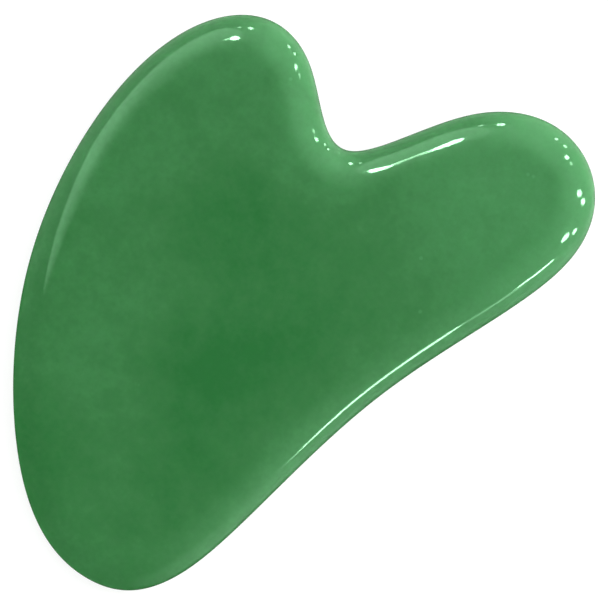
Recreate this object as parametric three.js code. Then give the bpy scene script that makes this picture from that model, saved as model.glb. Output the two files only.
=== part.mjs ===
// Gua sha scraper: a palm-sized plate of polished green stone, in one piece.
//
// It lies flat on its lower face. +Z is its thickness, and +Y runs from its rounded tip to
// the notch between its two lobes. The origin is the middle of its bounding box's underside.
// Seen from above, the wide crown lobe is on the left of the notch, the slimmer thumb lobe is
// on its right, the long bowed back is the left side, and the long hollowed edge is the right.

import * as THREE from 'three';
import { NURBSCurve } from 'three/addons/curves/NURBSCurve.js';

// Driving dimensions, in millimetres.
const LENGTH = 81; // from the tip to the top of the thumb lobe
const THICKNESS = 6;
const EDGE_REACH = 5.2; // from the rim to where the flat faces start

// The corners of the cage that the rim's smooth curve hangs in, anticlockwise from the notch.
// They set the rim's shape, which is scaled to LENGTH.
const CAGE = [
  [-1.4, 17.6], // below the floor of the notch
  [-10.6, 32.4], // rise from the notch to the crown lobe
  [-22.4, 33.4], // outer shoulder of the crown lobe
  [-31.5, 18.7], // upper back
  [-30, -11.5], // lower back
  [-12.8, -37.5], // left of the tip
  [1.3, -42], // below the tip
  [12.5, -36], // right of the tip
  [16.9, 0.3], // middle of the hollowed edge
  [35, 29.3], // outer shoulder of the thumb lobe
  [24, 43], // top of the thumb lobe
  [8.6, 38.8], // fall from the thumb lobe to the notch
];

// Fineness of the facets.
const RIM_STEPS = 160; // round the rim
const EDGE_STEPS = 10; // over the rounded edge, from the lower face to the upper face

const DEGREE = 3;

// A closed cubic B-spline: the cage's first corners come again at its end, so the curve
// closes on itself with no seam in its direction or its bend.
function makeRimCurve() {
  const corners = [...CAGE, ...CAGE.slice(0, DEGREE)];
  const points = corners.map(([x, y]) => new THREE.Vector4(x, y, 0, 1));
  const knots = Array.from({ length: points.length + DEGREE + 1 }, (_, index) => index);
  const curve = new NURBSCurve(DEGREE, knots, points, DEGREE, points.length);
  curve.arcLengthDivisions = 8 * RIM_STEPS;
  return curve;
}

// Evenly spaced points on the rim, at full size and centred on the origin.
function makeRim() {
  const points = makeRimCurve().getSpacedPoints(RIM_STEPS).slice(0, RIM_STEPS);
  const box = new THREE.Box3().setFromPoints(points);
  const middle = box.getCenter(new THREE.Vector3());
  const scale = LENGTH / (box.max.y - box.min.y);
  return points.map((point) => point.clone().sub(middle).multiplyScalar(scale));
}

// At each point of the rim, the direction straight into the plate: square to the line
// between the point's two neighbours.
function findInward(rim) {
  return rim.map((_, index) => {
    const before = rim[(index + RIM_STEPS - 1) % RIM_STEPS];
    const after = rim[(index + 1) % RIM_STEPS];
    return new THREE.Vector3(before.y - after.y, after.x - before.x, 0).normalize();
  });
}

// One ring of points for each step over the rounded edge. The edge's section is half an
// ellipse: upright at the rim, and level where it runs into the two flat faces.
function makeRings(rim) {
  const inward = findInward(rim);
  const rings = [];
  for (let step = 0; step <= EDGE_STEPS; step += 1) {
    const angle = Math.PI * (step / EDGE_STEPS - 0.5);
    const inset = EDGE_REACH * (1 - Math.cos(angle));
    const height = (THICKNESS / 2) * (1 + Math.sin(angle));
    const ring = rim.map((point, index) =>
      point.clone().addScaledVector(inward[index], inset).setZ(height));
    rings.push(ring);
  }
  return rings;
}

// The rings joined by bands of triangles, and closed by a flat face at each end.
function makePlateGeometry(rings) {
  const triangles = [];
  for (let ring = 0; ring < EDGE_STEPS; ring += 1) {
    const lower = ring * RIM_STEPS;
    const upper = lower + RIM_STEPS;
    for (let place = 0; place < RIM_STEPS; place += 1) {
      const next = (place + 1) % RIM_STEPS;
      triangles.push(lower + place, lower + next, upper + next);
      triangles.push(lower + place, upper + next, upper + place);
    }
  }

  const faceOutline = rings[0].map(({ x, y }) => new THREE.Vector2(x, y));
  const topRing = EDGE_STEPS * RIM_STEPS;
  for (const [a, b, c] of THREE.ShapeUtils.triangulateShape(faceOutline, [])) {
    triangles.push(a, c, b);
    triangles.push(topRing + a, topRing + b, topRing + c);
  }

  const geometry = new THREE.BufferGeometry().setFromPoints(rings.flat());
  geometry.setIndex(triangles);
  geometry.computeVertexNormals();
  return geometry;
}

function makeScraper() {
  const stone = new THREE.MeshStandardMaterial({ color: 0x3c7c47, roughness: 0.1, metalness: 0 });
  const scraper = new THREE.Mesh(makePlateGeometry(makeRings(makeRim())), stone);
  scraper.name = 'scraper';
  return scraper;
}

const guaShaScraper = new THREE.Group();
guaShaScraper.add(makeScraper());

export default guaShaScraper;
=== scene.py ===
"""Gua sha scraper: its polished stone surface, the floor under it, the studio light and the camera."""

import math

import bpy
import numpy as np
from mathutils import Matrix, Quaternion, Vector
from mathutils.geometry import delaunay_2d_cdt


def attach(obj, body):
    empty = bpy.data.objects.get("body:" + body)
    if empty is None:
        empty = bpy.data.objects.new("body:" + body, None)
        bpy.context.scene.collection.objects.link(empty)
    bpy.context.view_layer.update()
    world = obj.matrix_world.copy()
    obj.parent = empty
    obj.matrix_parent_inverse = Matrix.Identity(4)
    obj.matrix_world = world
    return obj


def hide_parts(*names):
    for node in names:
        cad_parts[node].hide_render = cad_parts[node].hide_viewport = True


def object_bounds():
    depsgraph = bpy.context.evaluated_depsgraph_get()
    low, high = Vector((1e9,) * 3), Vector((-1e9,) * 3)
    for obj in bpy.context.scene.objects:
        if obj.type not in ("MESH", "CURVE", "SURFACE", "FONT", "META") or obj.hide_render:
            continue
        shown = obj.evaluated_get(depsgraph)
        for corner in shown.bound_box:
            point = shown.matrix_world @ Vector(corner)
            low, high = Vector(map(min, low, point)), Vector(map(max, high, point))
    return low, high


MM = 0.001
WHITE = (1, 1, 1, 1)

# The finished surface's fineness.
RIM_REFINE = 4  # steps on the smooth rim for each step of the CAD rim
EDGE_STEPS = 28  # over the rounded edge, from one flat face to the other
FACE_STEP = 1.1 * MM  # between the points inside a flat face
FACE_CLEARANCE = 0.6 * FACE_STEP  # from those points to the face's outline
SAME_PLACE = 0.01 * MM  # CAD points count as level with each other within this

# How the scraper lies in the picture.
LEAN = math.radians(33)  # its long axis, clockwise from upright
PICTURE_HEIGHT = 1.063  # times the height of the scraper's box in it
PICTURE_DROP = 0.006  # how far the box's middle is above the picture's, in box heights
CAMERA_DISTANCE = 430 * MM

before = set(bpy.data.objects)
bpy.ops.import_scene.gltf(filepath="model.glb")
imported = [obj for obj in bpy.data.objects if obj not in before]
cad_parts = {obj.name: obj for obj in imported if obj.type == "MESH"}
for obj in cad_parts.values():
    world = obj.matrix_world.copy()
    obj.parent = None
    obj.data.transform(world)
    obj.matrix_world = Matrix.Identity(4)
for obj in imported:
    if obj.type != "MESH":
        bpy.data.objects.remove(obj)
cad_low, cad_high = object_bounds()
cad_size = cad_high - cad_low
half_thickness = cad_size.z / 2
mid_height = (cad_high.z + cad_low.z) / 2


# Geometry

def cad_points_at(height):
    """The CAD plate's points at that height, each one once, anticlockwise round the origin."""
    points = {(round(v.co.x, 7), round(v.co.y, 7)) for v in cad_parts["scraper"].data.vertices
              if abs(v.co.z - height) < SAME_PLACE}
    return np.array(sorted(points, key=lambda point: math.atan2(point[1], point[0])))


def smooth_loop(points, refine):
    """Points on the closed cubic spline through the given ones, and its direction at each."""
    turns = 2 * np.pi * np.arange(len(points)) / len(points)
    spectrum = np.fft.fft(points, axis=0) / ((4 + 2 * np.cos(turns)) / 6)[:, None]
    cage = np.fft.ifft(spectrum, axis=0).real
    around = [np.roll(cage, shift, axis=0)[:, None, :] for shift in (1, 0, -1, -2)]
    t = (np.arange(refine) / refine)[None, :, None]
    weights = [(1 - t) ** 3, 3 * t ** 3 - 6 * t ** 2 + 4, -3 * t ** 3 + 3 * t ** 2 + 3 * t + 1, t ** 3]
    slopes = [-3 * (1 - t) ** 2, 9 * t ** 2 - 12 * t, -9 * t ** 2 + 6 * t + 3, 3 * t ** 2]
    places = sum(w * p for w, p in zip(weights, around)).reshape(-1, 2) / 6
    along = sum(s * p for s, p in zip(slopes, around)).reshape(-1, 2)
    return places, along / np.linalg.norm(along, axis=1)[:, None]


def make_plate_mesh():
    """The closed plate: rows of quads over its rounded edge, and two flat faces of triangles."""
    rim, along = smooth_loop(cad_points_at(mid_height), RIM_REFINE)
    inward = np.stack([-along[:, 1], along[:, 0]], axis=1)
    reach = cad_high.x - cad_points_at(cad_high.z)[:, 0].max()
    count = len(rim)

    # Each row is the rim moved in and up, along half an ellipse from the lower face to the upper.
    rows = []
    for step in range(EDGE_STEPS + 1):
        angle = math.pi * (step / EDGE_STEPS - 0.5)
        flat = rim + inward * reach * (1 - math.cos(angle))
        height = mid_height + half_thickness * math.sin(angle)
        rows.append(np.column_stack([flat, np.full(count, height)]))
    points = np.concatenate(rows)
    faces = []
    for row in range(EDGE_STEPS):
        for place in range(count):
            after = (place + 1) % count
            faces.append((row * count + place, row * count + after,
                          (row + 1) * count + after, (row + 1) * count + place))

    # In the triangles, the numbers up to count are the outline's points and the rest are inside.
    face_rim = rows[0][:, :2]
    inner, triangles = fill_face(face_rim)
    last_row = EDGE_STEPS * count
    lower = len(points)
    upper = lower + len(inner)
    points = np.concatenate([points,
                             np.column_stack([inner, np.full(len(inner), cad_low.z)]),
                             np.column_stack([inner, np.full(len(inner), cad_high.z)])])
    for triangle in triangles:
        faces.append([lower + i - count if i >= count else i for i in reversed(triangle)])
        faces.append([upper + i - count if i >= count else last_row + i for i in triangle])

    mesh = bpy.data.meshes.new("polished_stone")
    mesh.from_pydata([tuple(p) for p in points], [], faces)
    mesh.validate()
    mesh.shade_smooth()
    return mesh


def fill_face(outline):
    """Points on an even triangular grid inside the outline, and the triangles over them and it."""
    row_step = FACE_STEP * math.sqrt(3) / 2
    low, high = outline.min(axis=0), outline.max(axis=0)
    grid = []
    for row, y in enumerate(np.arange(low[1], high[1], row_step)):
        for x in np.arange(low[0] + row % 2 * FACE_STEP / 2, high[0], FACE_STEP):
            grid.append((x, y))
    grid = np.array(grid)
    clear = [is_inside(p, outline) and np.linalg.norm(outline - p, axis=1).min() > FACE_CLEARANCE
             for p in grid]
    inner = grid[clear]
    flat = [Vector(p) for p in np.concatenate([outline, inner])]
    border = [(i, (i + 1) % len(outline)) for i in range(len(outline))]
    _, _, triangles, _, _, _ = delaunay_2d_cdt(flat, border, [], 1, 1e-9)
    return inner, triangles


def is_inside(point, outline):
    """Whether a line from the point towards +X crosses the outline an odd number of times."""
    after = np.roll(outline, -1, axis=0)
    crosses = (outline[:, 1] > point[1]) != (after[:, 1] > point[1])
    rise = np.where(crosses, after[:, 1] - outline[:, 1], 1.0)
    where = outline[:, 0] + (point[1] - outline[:, 1]) * (after[:, 0] - outline[:, 0]) / rise
    return np.count_nonzero(crosses & (where > point[0])) % 2 == 1


# Materials

# Where the colour is clouded, partly the stone's own clouding and partly painted light and shade:
# place as fractions of the CAD box's width and length, radius as a fraction of its length, and how
# much lighter (or darker, below 0) the colour is there.
CLOUDS_AND_PAINTED_LIGHT = [
    (0.86, 0.84, 0.22, 0.36),  # all over the thumb lobe: partly paler stone, partly painted light and sheen on the narrow lobe
    (0.39, 0.61, 0.13, -0.34),  # across the middle of the crown lobe
    (0.59, 0.64, 0.11, -0.25),
    (0.58, 0.45, 0.13, -0.40),  # the darkest one, in the middle: partly darker stone, partly painted shade far from the lit edges
    (0.47, 0.37, 0.12, -0.38),
    (0.57, 0.25, 0.11, -0.34),
    (0.27, 0.37, 0.14, 0.14),  # along the lower back
    (0.37, 0.26, 0.11, 0.06),
    (0.21, 0.09, 0.15, -0.24),  # beyond the rim, so only the rim is darker there: painted shade on the rim
    (0.20, 0.80, 0.16, 0.16),  # the shoulder of the crown lobe: partly paler stone, partly painted light on the narrow lobe
    (0.10, 0.60, 0.10, 0.10),
    (0.30, 0.88, 0.07, 0.12),  # the crown lobe's side towards the notch: painted sheen of the soft light from the right
    (0.44, 0.78, 0.09, 0.22),
    (0.60, 0.10, 0.10, -0.12),  # near the tip, towards the hollowed edge
]
CLOUD_FADE = 1.3  # times its radius to where a cloud ends
DRIFT_SIZE = 9 * MM  # the random drift that breaks up their outlines
DRIFT_RANGE = 14 * MM

# The random mottling, from cloudy to a curdled grain: size of the spots, strength, detail.
MOTTLING = [(12 * MM, 0.5, 4.0), (3 * MM, 0.34, 3.0), (0.7 * MM, 0.34, 2.0)]
DARK_GREEN = (0.0187, 0.135, 0.032, 1)
MID_GREEN = (0.036, 0.162, 0.050, 1)
LIGHT_GREEN = (0.0565, 0.216, 0.076, 1)

# Tiny pale flecks inside the stone.
FLECK_GREEN = (0.13, 0.36, 0.17, 1)
FLECK_SPACING = 6 * MM
FLECK_CORE, FLECK_END = 0.02, 0.06  # radii, as fractions of the spacing
FLECK_STRENGTH = 0.2

# The polish: nearly a mirror, with faint handling haze and a slight waviness.
ROUGHNESS = 0.055
HAZE_SIZE, HAZE_STRENGTH, HAZE_DETAIL = 7 * MM, 0.06, 5.0
WAVE_SIZE, WAVE_HEIGHT = 5 * MM, 0.01 * MM


def add_node(tree, kind, inputs, **settings):
    """A shader node with its settings, and its inputs linked to a socket or set to a value."""
    node = tree.nodes.new("ShaderNode" + kind)
    for name, value in settings.items():
        setattr(node, name, value)
    for key, value in inputs.items():
        if isinstance(value, bpy.types.NodeSocket):
            tree.links.new(value, node.inputs[key])
        else:
            node.inputs[key].default_value = value
    return node


def calculate(tree, operation, first, second):
    """The result of a sum on two numbers or sockets."""
    return add_node(tree, "Math", {0: first, 1: second}, operation=operation).outputs[0]


def move(tree, operation, *places):
    """The place that a sum on places gives."""
    return add_node(tree, "VectorMath", dict(enumerate(places)), operation=operation).outputs["Vector"]


def measure(tree, operation, *places):
    """The number that a sum on places gives."""
    return add_node(tree, "VectorMath", dict(enumerate(places)), operation=operation).outputs["Value"]


def ramp(tree, value, start, end, low, high):
    """The value's way from start to end, eased at both ends, turned into low to high."""
    inputs = {"Value": value, "From Min": start, "From Max": end, "To Min": low, "To Max": high}
    return add_node(tree, "MapRange", inputs, interpolation_type="SMOOTHSTEP").outputs["Result"]


def noise(tree, place, size, detail):
    """The node that makes random spots of about that size."""
    return add_node(tree, "TexNoise", {"Vector": place, "Scale": 1 / size, "Detail": detail})


def mottle(tree, place, size, strength, detail):
    """Soft random spots of about that size, from minus to plus half the strength."""
    spots = noise(tree, place, size, detail).outputs["Fac"]
    return calculate(tree, "MULTIPLY", calculate(tree, "SUBTRACT", spots, 0.5), strength)


def new_material(name):
    """A new material, its nodes and its shader."""
    material = bpy.data.materials.new(name)
    material.use_nodes = True
    return material, material.node_tree, material.node_tree.nodes["Principled BSDF"]


def make_stone():
    """Clouded green stone, with painted light and shade in part of its clouds, that lets light in,
    under a near-mirror polish.
    """
    stone, tree, shader = new_material("green_stone")
    place = add_node(tree, "TexCoord", {}).outputs["Object"]

    # The listed clouds, partly the stone's own and partly painted light and shade. They run straight
    # through the thickness.
    drift = noise(tree, place, DRIFT_SIZE, 5.0).outputs["Color"]
    moved = move(tree, "MULTIPLY_ADD", drift, (DRIFT_RANGE,) * 3, place)
    moved = move(tree, "SUBTRACT", moved, (DRIFT_RANGE / 2,) * 3)
    flat = move(tree, "MULTIPLY", moved, (1, 1, 0))
    tone = 0.5
    for across, along, radius, change in CLOUDS_AND_PAINTED_LIGHT:
        middle = (cad_low.x + across * cad_size.x, cad_low.y + along * cad_size.y, 0)
        away = measure(tree, "DISTANCE", flat, middle)
        end = CLOUD_FADE * radius * cad_size.y
        tone = calculate(tree, "ADD", tone, ramp(tree, away, 0, end, change, 0))

    for size, strength, detail in MOTTLING:
        tone = calculate(tree, "ADD", tone, mottle(tree, place, size, strength, detail))
    greens = add_node(tree, "ValToRGB", {"Fac": tone})
    stops = greens.color_ramp.elements
    stops[0].color = DARK_GREEN
    stops[1].color = LIGHT_GREEN
    stops.new(0.5).color = MID_GREEN

    cells = add_node(tree, "TexVoronoi", {"Vector": place, "Scale": 1 / FLECK_SPACING})
    fleck = ramp(tree, cells.outputs["Distance"], FLECK_CORE, FLECK_END, FLECK_STRENGTH, 0)
    mix = {"Factor": fleck, 6: greens.outputs["Color"], 7: FLECK_GREEN}
    colour = add_node(tree, "Mix", mix, data_type="RGBA").outputs[2]
    tree.links.new(colour, shader.inputs["Base Color"])

    haze = mottle(tree, place, HAZE_SIZE, HAZE_STRENGTH, HAZE_DETAIL)
    tree.links.new(calculate(tree, "ADD", haze, ROUGHNESS), shader.inputs["Roughness"])
    waves = noise(tree, place, WAVE_SIZE, 1.0).outputs["Fac"]
    bump = add_node(tree, "Bump", {"Height": waves, "Strength": 1.0, "Distance": WAVE_HEIGHT})
    tree.links.new(bump.outputs["Normal"], shader.inputs["Normal"])

    shader.inputs["IOR"].default_value = 1.6
    shader.inputs["Specular Tint"].default_value = (0.5, 1, 0.6, 1)
    shader.inputs["Subsurface Weight"].default_value = 1
    shader.inputs["Subsurface Radius"].default_value = (0.6, 1, 0.7)
    shader.inputs["Subsurface Scale"].default_value = 6 * MM
    return stone


plate = bpy.data.objects.new("polished_stone", make_plate_mesh())
bpy.context.scene.collection.objects.link(plate)
plate.data.materials.append(make_stone())
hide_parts("scraper")
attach(plate, "root")


# Floor

FLOOR_REACH = 400 * MM  # from the origin to its sides
FLOOR_GAP = 0.2 * MM  # below the scraper, so that the two don't share a surface
FLOOR_FADE = (120 * MM, 350 * MM)  # from the origin to where it begins to fade and to where it ends
FLOOR_GREY = (0.35, 0.35, 0.35, 1)
FLOOR_GLOW = 0.7


def make_floor():
    """White paper, lit from below as well, that fades out into the studio's white."""
    low, high = -FLOOR_REACH, FLOOR_REACH
    corners = [(low, low, 0), (high, low, 0), (high, high, 0), (low, high, 0)]
    mesh = bpy.data.meshes.new("floor")
    mesh.from_pydata(corners, [], [(0, 1, 2, 3)])
    floor = bpy.data.objects.new("floor", mesh)
    floor.location.z = cad_low.z - FLOOR_GAP
    floor.visible_glossy = False
    bpy.context.scene.collection.objects.link(floor)
    paper, tree, shader = new_material("white_paper")
    shader.inputs["Base Color"].default_value = FLOOR_GREY
    shader.inputs["Roughness"].default_value = 0.9
    shader.inputs["Emission Color"].default_value = WHITE
    shader.inputs["Emission Strength"].default_value = FLOOR_GLOW
    place = add_node(tree, "TexCoord", {}).outputs["Object"]
    away = measure(tree, "LENGTH", place)
    tree.links.new(ramp(tree, away, *FLOOR_FADE, 1, 0), shader.inputs["Alpha"])
    mesh.materials.append(paper)


make_floor()


# Light

# Each lamp: azimuth, elevation, width, height, brightness, distance and, on two, how many degrees
# its width is turned from level. Angles in degrees, sizes in millimetres.
# The small ones are only mirrored, as spots and streaks on the rounded edge.
SMALL_LAMPS = {
    "top_lamp": (96.6, 54.5, 28, 60, 50, 450),
    "top_strip": (101.2, 54, 24, 20, 16, 450),
    "back_lamp_1": (83.8, 32, 58, 130, 24, 900),
    "back_lamp_2": (92.6, 31, 36, 70, 10, 900),
    "upper_right_1": (47, 20, 11, 32, 18, 250),
    "upper_right_2": (40, 18, 11, 32, 18, 250),
    "upper_right_3": (33.5, 34, 11, 44, 28, 250),
    "upper_right_4": (28.5, 33, 8, 26, 10, 250),
    "right_1": (8, 35, 17, 52, 30, 250),
    "right_2": (2, 26, 17, 52, 30, 250),
    "right_3": (-17, 27, 16, 38, 28, 250),
    "right_4": (-20.5, 40, 20, 42, 30, 250),
    "corner_lamp": (-38.3, 31, 46, 19, 30, 250, -32),
    "corner_strip": (-45.8, 30, 30, 22, 4, 250),
    "front_lamp": (-49.1, 29.5, 22, 8.5, 24, 160, 62),
}
# The broad ones light the stone from within and aren't mirrored.
BROAD_LAMPS = {
    "key": (15, 38, 300, 160, 6.1, 330),
    "left_fill": (215, 25, 300, 160, 5.0, 330),
}

# The studio's soft light: azimuth and elevation of its middle, degrees from there to where it
# begins to fade and to where it ends, brightness.
SOFT_LIGHTS = [
    (8, 12, 32, 85, 1.65),
    (85, 58, 5, 30, 0.6),
    (108, 5, 25, 75, 0.95),
    (-60, 5, 26, 36, 0.48),
]
AMBIENT = 0.05

# A window in the same form; its lower edge is two straight stretches between these places.
WINDOW = (129, 45, 25.2, 28.4, 2.3)
WINDOW_EDGES = [((115, 27), (148, 28)), ((148, 28), (168, 50))]
# How it fades, in sines of the angle above that edge: fully there from the first one, and dimmed
# to DIM_REST of its brightness from the second to the third.
WINDOW_FULL, DIM_START, DIM_END = 0.03, 0.16, 0.38
DIM_REST = 0.7
OVERHEAD_FADE = 0.72  # the sine of the elevation from which it also fades to nothing overhead


def direction_to(azimuth, elevation):
    """The unit vector to a place in the studio. Azimuth 0 is the picture's right, 90 its top."""
    turn = math.radians(azimuth) + LEAN
    rise = math.radians(elevation)
    return Vector((math.cos(turn) * math.cos(rise), math.sin(turn) * math.cos(rise), math.sin(rise)))


def make_lamp(name, azimuth, elevation, width, height, brightness, distance, roll=0):
    """An oval softbox that faces the scraper. Brightness 1 is as bright as white paper."""
    light = bpy.data.lights.new(name, "AREA")
    light.shape = "ELLIPSE"
    light.size, light.size_y = width * MM, height * MM
    light.energy = brightness * math.pi ** 2 / 4 * light.size * light.size_y
    lamp = bpy.data.objects.new(name, light)
    lamp.location = distance * MM * direction_to(azimuth, elevation)
    facing = lamp.location.to_track_quat("Z", "Y") @ Quaternion((0, 0, 1), math.radians(roll))
    lamp.rotation_euler = facing.to_euler()
    lamp.visible_camera = False
    bpy.context.scene.collection.objects.link(lamp)
    return lamp


def make_world():
    """White behind everything for the camera, and the studio's soft light for the stone."""
    world = bpy.data.worlds.new("studio")
    world.use_nodes = True
    tree = world.node_tree
    place = add_node(tree, "TexCoord", {}).outputs["Generated"]

    def toward(direction):
        return measure(tree, "DOT_PRODUCT", place, direction)

    def soft_spot(azimuth, elevation, fade, end, brightness):
        start, full = math.cos(math.radians(end)), math.cos(math.radians(fade))
        return ramp(tree, toward(direction_to(azimuth, elevation)), start, full, 0, brightness)

    # The window is brightest along its lower edge and fades upwards.
    window = soft_spot(*WINDOW)
    above_edges = [toward(direction_to(*start).cross(direction_to(*end)).normalized())
                   for start, end in WINDOW_EDGES]
    above = calculate(tree, "MINIMUM", *above_edges)
    overhead = toward(Vector((0, 0, 1)))
    for shade in (ramp(tree, above, 0, WINDOW_FULL, 0, 1),
                  ramp(tree, above, DIM_START, DIM_END, 1, DIM_REST),
                  ramp(tree, overhead, OVERHEAD_FADE, 1, 1, 0)):
        window = calculate(tree, "MULTIPLY", window, shade)

    total = calculate(tree, "ADD", window, AMBIENT)
    for soft_light in SOFT_LIGHTS:
        total = calculate(tree, "ADD", total, soft_spot(*soft_light))

    light = tree.nodes["Background"]
    tree.links.new(total, light.inputs["Strength"])
    light.inputs["Color"].default_value = WHITE
    seen = add_node(tree, "Background", {"Color": WHITE})
    for_camera = add_node(tree, "LightPath", {}).outputs["Is Camera Ray"]
    choose = add_node(tree, "MixShader", {0: for_camera, 1: light.outputs[0], 2: seen.outputs[0]})
    tree.links.new(choose.outputs[0], tree.nodes["World Output"].inputs["Surface"])
    bpy.context.scene.world = world


for name, placing in SMALL_LAMPS.items():
    make_lamp(name, *placing).visible_diffuse = False
for name, placing in BROAD_LAMPS.items():
    make_lamp(name, *placing).visible_glossy = False
make_world()


# Camera

def make_camera():
    """Straight above the scraper, turned by its lean, and framed by the box of its leaning rim."""
    right = np.array([math.cos(LEAN), math.sin(LEAN)])
    up = np.array([-math.sin(LEAN), math.cos(LEAN)])
    rim = cad_points_at(mid_height)
    across, upright = rim @ right, rim @ up
    box_height = np.ptp(upright)
    middle = right * (across.max() + across.min()) / 2 + up * (upright.max() + upright.min()) / 2
    middle -= up * PICTURE_DROP * box_height
    data = bpy.data.cameras.new("camera")
    data.lens = data.sensor_width * CAMERA_DISTANCE / (PICTURE_HEIGHT * box_height)
    camera = bpy.data.objects.new("camera", data)
    camera.location = (middle[0], middle[1], mid_height + CAMERA_DISTANCE)
    camera.rotation_euler.z = LEAN
    bpy.context.scene.collection.objects.link(camera)
    bpy.context.scene.camera = camera


make_camera()
bpy.context.scene.view_settings.view_transform = "Standard"
